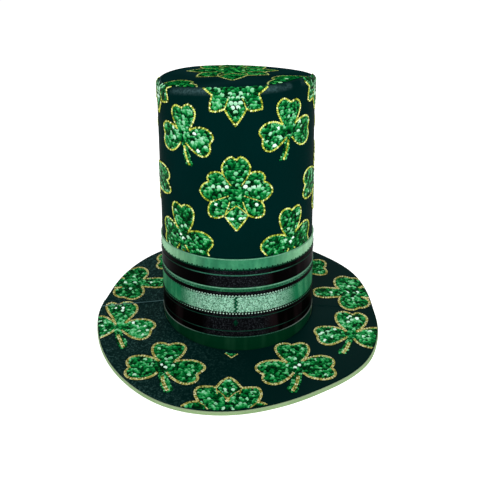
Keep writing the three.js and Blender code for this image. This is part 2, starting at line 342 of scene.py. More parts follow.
LEFT_STEM_GOLD = [(1.1, -12.6), (6.1, -23.3), (11.8, -35.6)]
RIGHT_LEAVES = [[
    (5, 6, 1), (6.9, 11), (11.1, 17.4), (14.2, 27.2), (13.4, 37.2), (9.4, 43), (2.7, 45.1),
    (-3.3, 43), (-7.8, 38.3, 1), (-13.8, 42.4), (-20.7, 39.6), (-24.6, 32.2), (-21.7, 22.3),
    (-14.8, 12.6), (-7, 5.6, 1),
], [
    (5, 6, 1), (13.9, 12.6), (23.7, 15.2), (33, 15.2), (40.4, 12.6), (43.6, 6.2), (41.1, -1.5, 1),
    (41, -9.2), (37.7, -15.2), (30.2, -18.2), (20.9, -15.2), (12.1, -9.2), (5.2, -3.7, 1),
], [
    (-7, 5.6, 1), (-10.7, 6.9), (-18.6, 11), (-29.2, 13.2), (-38, 10), (-42, 2), (-38, -6, 1),
    (-40, -14), (-34, -22), (-22.8, -24.1), (-12.4, -21), (-5.5, -15), (-1.8, -7, 1),
]]
RIGHT_STEM = [
    (5.1, -7, 1), (12.9, -21.2), (21.1, -29.9, 1), (18.8, -34.2), (12.1, -34.2, 1), (5.6, -24.1),
    (-1, -7, 1),
]
RIGHT_STEM_GOLD = [(4.5, -13.7), (10.3, -25.5), (15.5, -32.8)]
BACK_FLOWER_HALF = [
    (45, 0), (43, 7.4), (32, 11.2), (20, 10.2), (10.5, 8.8, 1), (14.4, 18.5), (13, 29.5), (6, 36.6),
    (-2, 37.4), (-9.5, 33, 1), (-15.5, 33.2), (-23, 27), (-24.8, 19), (-21, 13), (-16, 10.2, 1),
    (-24.5, 11.8), (-33, 9), (-38, 0),
]
TIP_LEAF = [
    (-92, -60, 1), (-90, -44), (-82, -34), (-75.8, -28), (-65.6, -23), (-56.9, -23.8), (-49.5, -31),
    (-45.2, -40), (-47.5, -47, 1), (-42.1, -56), (-39.3, -67), (-41, -76), (-49.7, -86.7),
    (-62, -90, 1),
]
STAR_QUARTER = [
    (0, -73, 1), (9, -58), (15.8, -43, 1), (28, -42), (39.4, -40, 1), (38, -26), (34, -15, 1),
    (43, -8), (52.5, 0, 1),
]
STAR_LINES = [
    [(15.8, -43), (8, -33), (0, -27)],
    [(34, -15), (24, -14), (12, -8)],
    [(15.8, -43), (16, -30), (10, -18)],
]

# Sequins with painted glints: places on a motif's chart, and how bright each is, up to near white
ROSETTE_GLINTS = [
    (9.9, 6.2, 0.75), (18.6, 5.4, 0.45), (25, 5.8, 0.35), (14.2, 3, 0.2), (21.8, -14.8, 0.7),
    (4.6, -30.5, 0.7), (8.6, -30.2, 0.4), (0, 21, 0.1), (13, 10.4, 0.12), (29, 3, 0.1), (4.4, -23, 0.1),
]
SHAMROCK_GLINTS = [
    (-15.5, 4.5, 0.55), (-13.6, -5.4, 0.35), (-19, -1, 0.15), (14.4, 1.8, 0.8), (18.4, -15.6, 0.8),
    (23, -3, 0.3), (12, -8, 0.25), (1, 12, 0.2), (0.8, 18, 0.1), (27, -11, 0.3),
]
TOP_ROSETTE_GLINTS = [
    (-2.6, -26.4, 0.6), (2.6, -26.4, 0.6), (-4.4, -22, 0.35), (5, -22, 0.35), (0, -22.4, 0.3),
    (-7, -17.5, 0.3), (7, -17.5, 0.3), (-2.4, -17.5, 0.25), (2.6, -17, 0.25), (-5, -13, 0.25),
    (5, -13, 0.25), (0, -31, 0.1), (-13, -14, 0.15), (13, -14, 0.15), (-17, -10, 0.1), (17, -10, 0.1),
]
BRIM_ROSETTE_GLINTS = [
    (-3.6, 27.5, 0.4), (5.6, 27.5, 0.4), (1.4, 40, 0.2), (-20, 14, 0.2), (21, 14, 0.2),
    (-26, 24, 0.15), (26, 24, 0.15), (-5, 1.5, 0.35), (5.5, 1.5, 0.35), (-12, 8, 0.2), (13, 8, 0.2),
]
BIG_GLINTS = [
    (-1.6, 2.4, 0.9), (2.8, -1.8, 0.7), (2.1, 12.9, 0.3), (11.2, 1.3, 0.25), (-30.2, -13.5, 0.3),
    (-21.8, 11.2, 0.2), (8.2, 14.5, 0.2), (30, -14, 0.2), (-8, 30, 0.2),
]
LEFT_GLINTS = [
    (-11.1, 40.2, 0.9), (-1.5, 40.2, 0.9), (-0.8, 34.6, 0.6), (-6, 45, 0.2), (16.9, 10.3, 0.9),
    (32.3, 3.2, 0.6), (30.4, -12.6, 0.6), (35.4, -4.8, 0.5), (23.1, 3.2, 0.4), (26, -6, 0.3),
    (-21.1, 3.2, 0.5), (-15.5, -4.8, 0.4), (-25.1, 13, 0.4), (-10.5, -9.5, 0.4), (-18, 10, 0.2),
    (-24, -5, 0.3),
]
RIGHT_GLINTS = [
    (-11.9, 31.2, 0.9), (-4.1, 34.9, 0.5), (-0.5, 32.2, 0.6), (-0.2, 24, 0.5), (-5, 28, 0.3),
    (34.5, 3.1, 0.6), (33.2, -10.7, 0.7), (37.9, 0, 0.4), (18.4, 9.4, 0.5), (-13.9, -3.1, 0.5),
    (-23.8, 6.2, 0.5), (24.2, -3.1, 0.5), (-20, -2, 0.4), (28, 6, 0.3),
]
BACK_FLOWER_GLINTS = [(-13, 0, 0.6), (0, 0, 0.5), (22, 0, 0.6), (-4, 14, 0.4), (-4, -14, 0.4)]
STAR_GLINTS = [
    (26, -34, 0.2), (-26, -34, 0.2), (12, -3, 0.3), (-12, 3, 0.3), (30, 2, 0.2), (-30, -2, 0.2),
    (0, -20, 0.2),
]


def smooth_line(knots, closed=False, step=0.5):
    """Points close together on a line that runs smoothly through knots and turns sharply at corners."""
    places = [np.array(knot[:2], float) for knot in knots]
    corners = [len(knot) > 2 for knot in knots]
    if closed:
        places = places + [places[0]]
        corners = corners + [corners[0]]
    points = []
    last = len(places) - 1
    for i in range(last):
        start, end = places[i], places[i + 1]
        before = places[i - 1] if i > 0 and not corners[i] else 2 * start - end
        after = places[i + 2] if i + 2 <= last and not corners[i + 1] else 2 * end - start
        count = max(2, int(math.ceil(np.linalg.norm(end - start) / step)))
        t = (np.arange(count) / count)[:, None]
        points.append(
            0.5 * (2 * start + (end - before) * t + (2 * before - 5 * start + 4 * end - after) * t**2
                   + (3 * start - before - 3 * end + after) * t**3)
        )
    points.append(places[-1][None, :])
    return np.vstack(points)


def mirrored(points):
    return points * np.array([-1.0, 1.0])


def upended(points):
    return points * np.array([1.0, -1.0])


def with_twin(half, flipped):
    """A closed outline from one half, whose ends lie on the line that it is flipped over."""
    return np.vstack([half, flipped(half)[::-1][1:-1]])


def smooth_lines(charts):
    return [smooth_line(chart) for chart in charts]


def inside(places, outline):
    """Which places lie inside a closed outline."""
    x, y = places[:, 0][:, None], places[:, 1][:, None]
    x0, y0 = outline[:, 0][None, :], outline[:, 1][None, :]
    x1, y1 = np.roll(outline[:, 0], -1)[None, :], np.roll(outline[:, 1], -1)[None, :]
    rises = (y0 > y) != (y1 > y)
    crossing = x0 + (y - y0) * (x1 - x0) / np.where(y1 == y0, 1e-9, y1 - y0)
    return (np.sum(rises & (x < crossing), axis=1) % 2) == 1


def hex_places(fills, pitch):
    """Places in close rows over the box round some outlines."""
    corners = np.vstack(fills)
    low, high = corners.min(axis=0) - pitch, corners.max(axis=0) + pitch
    rows = np.arange(low[1], high[1], pitch * math.sqrt(3) / 2)
    columns = np.arange(low[0], high[0], pitch)
    grid_x, grid_y = np.meshgrid(columns, rows)
    grid_x = grid_x + (np.arange(len(rows)) % 2)[:, None] * pitch / 2
    return np.column_stack([grid_x.ravel(), grid_y.ravel()])


def nearest(places, line):
    """How far each place is from the nearest point of a line."""
    apart = np.linalg.norm(places[:, None, :] - line[None, :, :], axis=2)
    return apart.min(axis=1)


class Motif:
    """One figure of the print: areas that sequins fill, ropes round them, and sequins with painted
    glints.

    narrow areas take small sequins alone, thin and broad are ropes of other widths, and light is how
    much lighter than the others its sequins are.
    """

    def __init__(self, fills, ropes, glints, thin=(), broad=(), narrow=(), light=0.0):
        self.fills = fills
        self.narrow = list(narrow)
        self.light = light
        widths = ((ropes, 1.0), (thin, THIN_ROPE), (broad, BROAD_ROPE))
        self.ropes = [(rope, width) for group, width in widths for rope in group]
        self.glints = np.array(glints, float)


def rosette():
    outline = with_twin(smooth_line(ROSETTE_RIGHT), mirrored)
    lines = smooth_lines(ROSETTE_LINES)
    thin = lines + [mirrored(line) for line in lines]
    glints = ROSETTE_GLINTS + [(-x, y, tone) for x, y, tone in ROSETTE_GLINTS if x > 1]
    return Motif([outline], [outline], glints, thin, light=0.04)


def top_rosette():
    outline, shown = smooth_lines([TOP_ROSETTE, TOP_ROSETTE[:15]])
    return Motif([outline], [shown], TOP_ROSETTE_GLINTS, smooth_lines(TOP_ROSETTE_LINES))


def brim_rosette():
    outline, knot = smooth_lines([BRIM_ROSETTE, [(-0.7, 16), (-0.7, 10)]])
    lines = smooth_lines(BRIM_ROSETTE_LINES)
    return Motif([outline], [outline], BRIM_ROSETTE_GLINTS, lines, [knot, knot + 1.2])


def triangle():
    line = smooth_line(TRIANGLE, closed=True)
    return Motif([line], [], [(0, 3, -0.4)], [smooth_line(TRIANGLE)], light=-0.1)


def clover(leaves, stem, stem_gold, glints, light, node=None):
    """Three leaves with ropes round them, and a stem with a rope along it."""
    outlines = smooth_lines(leaves)
    fills = [np.vstack([leaf, [[0.5, -1.0]]]) for leaf in outlines]
    if node:
        fills.append(smooth_line(node, closed=True))
    green_stem = smooth_line(stem, closed=True)
    return Motif(
        fills, outlines, glints, broad=[smooth_line(stem_gold)], narrow=[green_stem], light=light
    )


def side_shamrock(reach):
    """The clover at the crown's side, with a short stem. Its first leaf, which the front shows, is
    longer by reach."""
    short = 0.55
    leaf, stem, stem_gold = (
        [(knot[0], knot[1] * share, *knot[2:]) for knot in knots]
        for knots, share in ((BIG_LEAVES[0], reach), (BIG_STEM, short), (BIG_STEM_GOLD, short))
    )
    return clover([leaf] + BIG_LEAVES[1:], stem, stem_gold, BIG_GLINTS, 0.04, BIG_NODE)


def back_flower():
    outline = with_twin(smooth_line(BACK_FLOWER_HALF), upended)
    return Motif([outline], [outline], BACK_FLOWER_GLINTS)


def tip_leaf():
    line = smooth_line(TIP_LEAF, closed=True)
    return Motif([line], [line], [(-60, -50, 0.5), (-52, -66, 0.4)], light=-0.08)


def star():
    quarter = smooth_line(STAR_QUARTER)
    outline = with_twin(np.vstack([quarter, upended(quarter)[::-1][1:]]), mirrored)
    lines = []
    for line in smooth_lines(STAR_LINES):
        lines += [line, upended(line), mirrored(line), upended(mirrored(line))]
    return Motif([outline], [outline], STAR_GLINTS, lines, light=-0.1)


# Meshes

def placed(name, data):
    """A new object in the scene."""
    made = bpy.data.objects.new(name, data)
    bpy.context.scene.collection.objects.link(made)
    return made


def store_values(piece, name, values):
    """Keeps a number at each vertex, which a material reads."""
    attribute = piece.data.attributes.new(name, "FLOAT", "POINT")
    attribute.data.foreach_set("value", values.ravel().astype(np.float32))


def add_object(name, vertices, faces, smooth=True):
    mesh = bpy.data.meshes.new(name)
    mesh.from_pydata(vertices, [], faces)
    mesh.update()
    if smooth:
        mesh.shade_smooth()
    return placed(name, mesh)


def finish_piece(piece, material, replaced=None):
    piece.data.materials.clear()
    piece.data.materials.append(material)
    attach(piece, "root")
    if replaced:
        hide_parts(replaced)


def stamp(name, shape, faces, centres, axes, tones=None, smooth=True):
    """One mesh with a copy of a small shape at every centre. Each row of axes holds a copy's axes."""
    vertices = centres[:, None, :] + np.einsum("kj,njl->nkl", shape, axes)
    vertices = vertices.reshape(-1, 3) * MM
    offsets = (np.arange(len(centres)) * len(shape))[:, None]
    listed = [row for face in faces for row in (offsets + np.array(face)).tolist()]
    piece = add_object(name, vertices.tolist(), listed, smooth)
    if tones is not None:
        store_values(piece, "tone", np.broadcast_to(tones, (len(centres), len(shape))))
    return piece


def disc_shape(sides, rise):
    """A small round plate with a raised middle."""
    angles = np.arange(sides) * 2 * math.pi / sides
    ring = np.column_stack([np.cos(angles), np.sin(angles), np.zeros(sides)])
    shape = np.vstack([ring, [[0, 0, rise]]])
    faces = [(i, (i + 1) % sides, sides) for i in range(sides)]
    return shape, faces


def bead_shape():
    """A small ball of 20 triangles."""
    ball = bmesh.new()
    bmesh.ops.create_icosphere(ball, subdivisions=1, radius=1.0)
    shape = np.array([vertex.co[:] for vertex in ball.verts])
    faces = [tuple(vertex.index for vertex in face.verts) for face in ball.faces]
    ball.free()
    return shape, faces


class Print:
    """Gathers the sequins and rope beads of motifs on one piece of cloth."""

    def __init__(self, name, wide=False, relief=1.0):
        self.name = name
        self.wide = wide
        self.relief = relief
        self.sequins = []
        self.beads = []
        self.patches = []

    def add(self, motif, surface, turn=0.0, scale=1.0, mirror=False, narrow=1.0):
        side = -narrow if mirror else narrow
        angle = math.radians(turn)
        spin = np.array([[math.cos(angle), math.sin(angle)], [-math.sin(angle), math.cos(angle)]])

        def chart(points):
            return (points * np.array([side * scale, scale])) @ spin

        fills = [chart(fill) for fill in motif.fills]
        slim = [chart(fill) for fill in motif.narrow]
        ropes = [(chart(rope), width) for rope, width in motif.ropes]
        lines = np.vstack([rope for rope, width in ropes])
        shown = chart(motif.glints[:, :2])
        small = (SMALL_SEQUIN_PITCH, SMALL_SEQUIN_RADIUS, SMALL_SEQUIN_CLEAR)
        for areas, sizes in (
            (fills, (SEQUIN_PITCH, SEQUIN_RADIUS, SEQUIN_CLEAR, math.inf)),
            (fills, (*small, SMALL_SEQUIN_REACH)),
            (slim, (*small, math.inf)),
        ):
            if areas:
                self.fill(areas, lines, shown, surface, sizes, motif.light)
        # Painted glints: tones above 1 run up the sequins' colour ramp towards near white
        self.place_sequins(shown, 1.0 + motif.glints[:, 2], surface, GLINT_RADIUS)
        for i, fill in enumerate(fills + slim):
            self.patch(fill, surface, PATCH_LIFT + PATCH_STEP * i)
        for rope, width in ropes:
            if self.wide and width > THIN_ROPE:
                for side in (1, -1):
                    self.rope(rope, surface, width * BRIM_ROPE, side * width * BRIM_ROPE_APART)
            else:
                self.rope(rope, surface, width * CROWN_ROPE)

    def fill(self, fills, lines, shown, surface, sizes, light):
        """Rows of sequins inside some outlines: sizes holds their pitch and radius, and how near to the
        ropes and how far from them they lie."""
        pitch, radius, nearest_rope, farthest_rope = sizes
        places = hex_places(fills, pitch)
        places = places + RANDOM.uniform(-0.2, 0.2, places.shape) * pitch
        held = np.zeros(len(places), bool)
        for fill in fills:
            held |= inside(places, fill)
        places = places[held]
        apart = nearest(places, lines)
        places = places[(apart > nearest_rope) & (apart < farthest_rope)]
        if len(places):
            places = places[nearest(places, shown) > radius * 0.9]
        if len(places):
            self.place_sequins(places, self.tones(places, light), surface, radius)

    def place_sequins(self, places, tones, surface, radius):
        point, along, rise, normal, kept = surface(places, SEQUIN_LIFT * self.relief, radius * 0.7)
        sizes = np.full(len(places), radius)
        rows = (point, along, rise, normal, tones, sizes)
        self.sequins.append([row[kept] for row in rows])

    def patch(self, fill, surface, lift):
        """A thin skin under the sequins, which shows in the gaps between them."""
        outline = fill[::2]
        grid = hex_places([fill], PATCH_PITCH)
        grid = grid[inside(grid, fill)]
        grid = grid[nearest(grid, outline) > 1.2]
        places = [Vector(place) for place in np.vstack([outline, grid]).tolist()]
        flat = delaunay_2d_cdt(places, [], [list(range(len(outline)))], 1, 1e-4)
        corners = np.array([list(place) for place in flat[0]])
        faces = np.array([face for face in flat[2] if len(face) == 3])
        point, along, rise, normal, kept = surface(corners, lift)
        faces = faces[kept[faces].all(axis=1)]
        self.patches.append((point, faces, self.tones(corners, 0.0)))

    def tones(self, places, light):
        """How light each sequin is, from 0 to 1: soft patches, with a chance value on top."""
        seed = len(self.sequins) * 31.7
        soft, fine = (
            np.array([noise.noise(Vector((x * scale, y * scale, level))) for x, y in places])
            for scale, level in ((0.11, seed), (0.34, seed + 9.0))
        )
        chance = RANDOM.uniform(-1, 1, len(places))
        return np.clip(0.42 + light + 0.55 * soft + 0.55 * fine + 0.42 * chance, 0, 0.98)

    def rope(self, line, surface, width, offset=0.0):
        steps = np.linalg.norm(np.diff(line, axis=0), axis=1)
        travelled = np.concatenate([[0], np.cumsum(steps)])
        count = max(2, int(travelled[-1] / (ROPE_PITCH * width)))
        marks = (np.arange(count) + 0.5) * travelled[-1] / count
        step = 0.6
        places, ahead, back = (
            np.column_stack([np.interp(marks + shift, travelled, line[:, i]) for i in (0, 1)])
            for shift in (0.0, step, -step)
        )
        heading = ahead - back
        heading /= np.maximum(np.linalg.norm(heading, axis=1, keepdims=True), 1e-6)
        places = places + np.column_stack([-heading[:, 1], heading[:, 0]]) * offset
        point, along, rise, normal, kept = surface(places, ROPE_LIFT * self.relief, 0.8)
        ahead = along * heading[:, :1] + rise * heading[:, 1:]
        aside = np.cross(normal, ahead)
        slant = math.radians(BEAD_SLANT)
        along_share, across_share = math.cos(slant), math.sin(slant)
        length, breadth, height = (size * width for size in BEAD_SIZE)
        long_axis = (ahead * along_share + aside * across_share) * length
        short_axis = (aside * along_share - ahead * across_share) * breadth
        axes = np.stack([long_axis, short_axis, normal * height * self.relief], 1)
        alternate = 0.3 * (np.arange(len(point)) % 2)
        tones = np.clip(RANDOM.uniform(-0.1, 0.8, len(point)) + alternate, 0, 1)
        self.beads.append((point[kept], axes[kept], tones[kept]))

    def build(self, sequin_material, gold_material):
        point, along, rise, normal, tones, sizes = (
            np.concatenate([row[i] for row in self.sequins]) for i in range(6)
        )
        count = len(point)
        tilt = RANDOM.normal(0, SEQUIN_TILT * self.relief, (count, 2))
        tilt[:, 1] -= SEQUIN_TILT * self.relief
        normal = unit(normal + along * tilt[:, :1] + rise * tilt[:, 1:])
        along = unit(np.cross(rise, normal))
        rise = np.cross(normal, along)
        size = sizes[:, None] * RANDOM.uniform(0.9, 1.08, (count, 1))
        point = point + normal * RANDOM.uniform(0, SEQUIN_STACK * self.relief, (count, 1))
        axes = np.stack([along * size, rise * size, normal * size], 1)
        shape, faces = disc_shape(SEQUIN_SIDES, SEQUIN_RISE)
        # Painted highlight and shade on each sequin: lighter on the side towards the light, mostly the
        # top, darker opposite
        lit_side = RANDOM.normal(math.pi / 2, 0.6, (count, 1))
        around = np.arctan2(shape[:, 1], shape[:, 0])[None, :]
        painted_crescent = 0.34 * np.cos(around - lit_side)
        painted_crescent[:, -1] = -0.04
        tones = tones[:, None]
        spread = tones + np.where(tones > 1, 0.5, 1.0) * painted_crescent
        sequins = stamp(self.name + "_sequins", shape, faces, point, axes, spread, smooth=False)
        finish_piece(sequins, sequin_material)

        start = 0
        faces = []
        for corners, triangles, shades in self.patches:
            faces.append(triangles + start)
            start += len(corners)
        used, renumbered = np.unique(np.vstack(faces), return_inverse=True)
        vertices, shades = (np.concatenate([row[i] for row in self.patches])[used] for i in (0, 2))
        listed = renumbered.reshape(-1, 3).tolist()
        under = add_object(self.name + "_skin", (vertices * MM).tolist(), listed)
        store_values(under, "tone", shades * 0.3)
        finish_piece(under, sequin_material)

        point, axes, tones = (np.concatenate([row[i] for row in self.beads]) for i in range(3))
        shape, faces = bead_shape()
        beads = stamp(self.name + "_gold_rope", shape, faces, point, axes, tones[:, None])
        finish_piece(beads, gold_material)


def refined(name, node, long_edge, cuts):
    """A fine, smooth copy of a solid: long edges cut up, sharp edges held, and faces divided."""
    fine = bmesh.new()
    fine.from_mesh(NODES[node].data)
    bmesh.ops.remove_doubles(fine, verts=fine.verts, dist=1e-6)
    bmesh.ops.join_triangles(
        fine, faces=fine.faces, angle_face_threshold=FLAT_ANGLE, angle_shape_threshold=math.pi
    )
    long_ones = [edge for edge in fine.edges if edge.calc_length() > long_edge * MM]
    if cuts:
        bmesh.ops.subdivide_edges(fine, edges=long_ones, cuts=cuts, use_grid_fill=True)
    crease = fine.edges.layers.float.get("crease_edge") or fine.edges.layers.float.new("crease_edge")
    for edge in fine.edges:
        if len(edge.link_faces) == 2 and edge.calc_face_angle() > SHARP_ANGLE:
            edge[crease] = CREASE
    mesh = bpy.data.meshes.new(name + "_cage")
    fine.to_mesh(mesh)
    fine.free()
    cage = placed(name + "_cage", mesh)
    divide = cage.modifiers.new("divide", "SUBSURF")
    divide.levels = SMOOTH_LEVELS
    divide.render_levels = SMOOTH_LEVELS
    settled = cage.evaluated_get(bpy.context.evaluated_depsgraph_get())
    made = bpy.data.meshes.new_from_object(settled)
    made.name = name
    bpy.data.objects.remove(cage)
    made.shade_smooth()
    made.set_sharp_from_angle(angle=SHADE_ANGLE)
    return placed(name, made)


# Materials

def colour(red, green, blue):
    """A colour given as it shows on a screen, 0 to 255, in linear light."""
    def linear(value):
        share = value / 255
        return share / 12.92 if share <= 0.04045 else ((share + 0.055) / 1.055) ** 2.4

    return (linear(red), linear(green), linear(blue), 1.0)


class Nodes:
    """Short ways to lay out a material's nodes."""

    def __init__(self, name, **sockets):
        self.material = bpy.data.materials.new(name)
        self.material.use_nodes = True
        self.tree = self.material.node_tree
        self.shader = self.tree.nodes["Principled BSDF"]
        for socket, value in sockets.items():
            self.shader.inputs[socket.replace("_", " ")].default_value = value
        self.place = self.add("ShaderNodeTexCoord").outputs["Object"]

    def add(self, kind, sockets=(), **settings):
        """A new node, with its settings made and its sockets fed."""
        node = self.tree.nodes.new(kind)
        for key, value in settings.items():
            setattr(node, key, value)
        for socket, value in dict(sockets).items():
            self.feed(node.inputs[socket], value)
        return node

    def feed(self, socket, value):
        """Sets a socket's own number or screen colour, or links it to another node's socket."""
        if isinstance(value, tuple):
            socket.default_value = colour(*value)
        elif isinstance(value, (int, float)):
            socket.default_value = value
        else:
            self.tree.links.new(value, socket)

    def stretched(self, x, y, z):
        node = self.add("ShaderNodeMapping", {"Vector": self.place})
        node.inputs["Scale"].default_value = (x, y, z)
        return node.outputs["Vector"]

    def noise(self, scale, detail, vector=None, roughness=0.55):
        sockets = {"Scale": scale, "Detail": detail, "Roughness": roughness}
        sockets["Vector"] = vector or self.place
        return self.add("ShaderNodeTexNoise", sockets).outputs["Fac"]

    def cells(self, scale):
        return self.add("ShaderNodeTexVoronoi", {"Scale": scale, "Vector": self.place})

    def ramp(self, factor, *stops):
        node = self.add("ShaderNodeValToRGB", {"Fac": factor})
        while len(node.color_ramp.elements) < len(stops):
            node.color_ramp.elements.new(0.5)
        for element, (place, value) in zip(node.color_ramp.elements, stops):
            element.position = place
            element.color = colour(*value)
        return node.outputs["Color"]

    def math(self, operation, *values):
        return self.add("ShaderNodeMath", enumerate(values), operation=operation).outputs[0]

    def product(self, first, *others):
        for other in others:
            first = self.math("MULTIPLY", first, other)
        return first

    def mix(self, factor, first, second):
        sockets = {0: factor, 6: first, 7: second}
        return self.add("ShaderNodeMix", sockets, data_type="RGBA").outputs[2]

    def fade(self, value, low, high, start=0.0, end=1.0):
        sockets = {"Value": value, "From Min": low, "From Max": high, "To Min": start, "To Max": end}
        return self.add("ShaderNodeMapRange", sockets, clamp=True).outputs["Result"]

    def attribute(self, name):
        return self.add("ShaderNodeAttribute", attribute_name=name).outputs["Fac"]

    def axis(self, which):
        return self.add("ShaderNodeSeparateXYZ", {0: self.place}).outputs[which]

    def from_front(self):
        """How far round the crown's foot a place is, in turns: 0 at the front and 0.5 at the back."""
        x = self.math("SUBTRACT", self.axis("X"), CROWN_PLACE[0] * MM)
        y = self.math("SUBTRACT", CROWN_PLACE[1] * MM, self.axis("Y"))
        turns = self.math("DIVIDE", self.math("ARCTAN2", x, y), 2 * math.pi)
        return self.math("ABSOLUTE", turns)

    def bump(self, height, strength, distance):
        sockets = {"Height": height, "Strength": strength, "Distance": distance}
        self.feed(self.shader.inputs["Normal"], self.add("ShaderNodeBump", sockets).outputs["Normal"])

    def base(self, value):
        self.feed(self.shader.inputs["Base Color"], value)

    def rough(self, value):
        self.feed(self.shader.inputs["Roughness"], value)


def cloth_material(name, dark, light, sheen=0.012, left_sheen=0.0, edge_sheen=0.0):
    """Smooth printed cloth, nearly black, with a fine leathery grain.

    left_sheen greys it in specks towards the left of the brim, as painted sheen, and edge_sheen greys
    it along the crown's top edge, as a painted highlight.
    """
    made = Nodes(name, Roughness=0.42, Specular_IOR_Level=sheen)
    grain = made.noise(500, 3, roughness=0.62)
    ground = made.mix(made.fade(made.noise(14, 2), 0.35, 0.7), dark, light)
    # Painted sheen: grey specks towards the left of the brim
    if left_sheen:
        leftward = made.fade(made.axis("X"), 0.02, -0.1)
        specks = made.fade(grain, 0.5, 0.66)
        patches = made.fade(made.noise(34, 3), 0.35, 0.65, 0.45, 1.0)
        greyed = made.product(leftward, specks, patches, left_sheen)
        ground = made.mix(greyed, ground, (52, 84, 80))
    # Painted highlight: grey patches along the crest of the crown's rounded top edge
    if edge_sheen:
        patches = made.fade(made.noise(40, 3), 0.42, 0.66)
        specks = made.fade(grain, 0.38, 0.62, 0.3, 1.0)
        greyed = made.product(made.attribute("crest"), patches, specks, edge_sheen)
        ground = made.mix(greyed, ground, (66, 94, 96))
    made.base(ground)
    made.rough(made.fade(grain, 0.3, 0.7, 0.38, 0.54))
    made.bump(grain, 0.35, 0.0004)
    return made.material


def sequin_material(name, shine, middle=(52, 160, 88), pale=(126, 200, 150)):
    made = Nodes(name, Roughness=0.25, Specular_IOR_Level=shine)
    # The stops from pale green up to near white colour the painted glints and painted highlight
    # crescents
    made.base(made.ramp(
        made.product(made.attribute("tone"), 0.5),
        (0.0, (0, 26, 10)), (0.1, (0, 52, 18)), (0.2, (0, 82, 32)),
        (0.32, (10, 118, 52)), (0.43, middle), (0.58, pale),
        (0.95, (228, 252, 238)),
    ))
    made.rough(made.fade(made.noise(500, 1), 0.3, 0.7, 0.2, 0.4))
    return made.material


def gold_material(name, shine, *shades):
    made = Nodes(name, Roughness=0.4, Specular_IOR_Level=shine)
    tone = made.product(made.attribute("tone"), 0.75)
    shade = made.math("ADD", tone, made.product(made.noise(260, 2), 0.3))
    made.base(made.ramp(shade, *zip((0.1, 0.36, 0.62, 0.95), shades)))
    return made.material


def foam_material():
    """Soft green foam, with a painted highlight that makes its slanted upper edge lighter and greyer.
    """
    made = Nodes("foam", Roughness=0.85, Specular_IOR_Level=0.1)
    broad = made.noise(30, 3)
    green = made.mix(made.fade(broad, 0.3, 0.7), (122, 150, 104), (138, 164, 118))
    # Painted highlight: lighter, greyer colour on the slanted upper edge
    slant = made.fade(made.axis("Z"), 0.0024, 0.0034, 0.0, 0.85)
    made.base(made.mix(slant, green, (146, 166, 130)))
    made.bump(made.cells(900).outputs["Distance"], 0.4, 0.0005)
    return made.material


def ribbon_material(name, middle, side, far, glitter=0.0, bars=0.5):
    """Satin ribbon with painted sheen front to sides, and glitter with painted glints round the front.
    """
    made = Nodes(name, Roughness=0.4, Specular_IOR_Level=0.02)
    away = made.from_front()
    # Painted sheen by angle from the front: mint is lighter in front, the other ribbons at the sides
    ground = made.ramp(away, (0.07, middle), (0.125, side), (0.185, far))
    # Vertical bars of painted sheen, lighter, and of painted shade, darker; darker also gives random
    # mottling
    sheen_stripes = made.noise(1.0, 2, made.stretched(72, 72, 5.0))
    lighter = made.mix(0.34, ground, (120, 205, 150))
    darker = made.mix(0.45, ground, (0, 52, 32))
    ground = made.mix(made.fade(sheen_stripes, 0.5, 0.66, 0.0, bars), ground, lighter)
    ground = made.mix(made.fade(sheen_stripes, 0.5, 0.34, 0.0, bars), ground, darker)
    mottle = made.noise(260, 3, roughness=0.7)
    ground = made.mix(made.fade(mottle, 0.42, 0.66, 0.0, 0.7 * bars), ground, darker)
    # Glitter flecks round the front: real glitter, with painted glints where the front faces the light
    if glitter:
        specks = made.cells(1060).outputs["Color"]
        fleck = made.ramp(
            specks, (0.2, (44, 78, 60)), (0.34, (88, 138, 112)), (0.52, (116, 170, 142)),
            (0.72, (158, 208, 182)),
        )
        amount = made.fade(away, 0.066, 0.136, glitter, 0.0)
        ground = made.mix(amount, ground, fleck)
    made.base(ground)
    sockets = {"Scale": 620, "Vector": made.place}
    weave = made.add("ShaderNodeTexWave", sockets, wave_type="BANDS", bands_direction="Z")
    made.bump(weave.outputs["Fac"], 0.16, 0.0002)
    return made.material


def satin_material():
    """Black satin with painted sheen: fine grey specks at the front, faint brown bars towards the
    sides.
    """
    made = Nodes("satin_black", Roughness=0.32, Specular_IOR_Level=0.005)
    # Vertical bars of painted sheen, brown towards the sides, which also vary the roughness
    bars = made.noise(1.0, 2, made.stretched(36, 36, 1.2))
    away = made.from_front()
    # Painted sheen at the front: a greyer ground, with grey specks on it
    middle = made.fade(away, 0.05, 0.075, 1.0, 0.0)
    ground = made.mix(made.fade(bars, 0.52, 0.68), (2, 1, 1), (24, 16, 18))
    ground = made.mix(middle, ground, (5, 6, 8))
    specks = made.product(made.fade(made.noise(760, 2), 0.5, 0.68, 0.0, 0.75), middle)
    made.base(made.mix(specks, ground, (46, 50, 54)))
    made.rough(made.fade(bars, 0.4, 0.7, 0.3, 0.46))
    return made.material


def thread_material(name, shown, lighter, side=None):
    """Thread, in two shades, with a third shade towards the sides of the hat."""
    made = Nodes(name, Roughness=0.5, Specular_IOR_Level=0.02)
    ground = made.mix(made.fade(made.noise(620, 2), 0.35, 0.65), shown, lighter)
    if side:
        away = made.from_front()
        ground = made.mix(made.fade(away, 0.08, 0.13), ground, side)
    made.base(ground)
    made.bump(made.noise(1500, 2), 0.3, 0.0002)
    return made.material


# The band's small trim

def band_point(azimuth, height, out):
    """Points on the band, in the crown's frame. The band rises at the back, where the crown sinks."""
    behind = np.maximum(0, -np.cos(np.radians(azimuth)))
    level = height + BAND_BACK_RISE * behind**2
    point = outward(azimuth) * (crown_radius(level) + BAND_OUT + out)[:, None]
    point[:, 2] = level
    return point


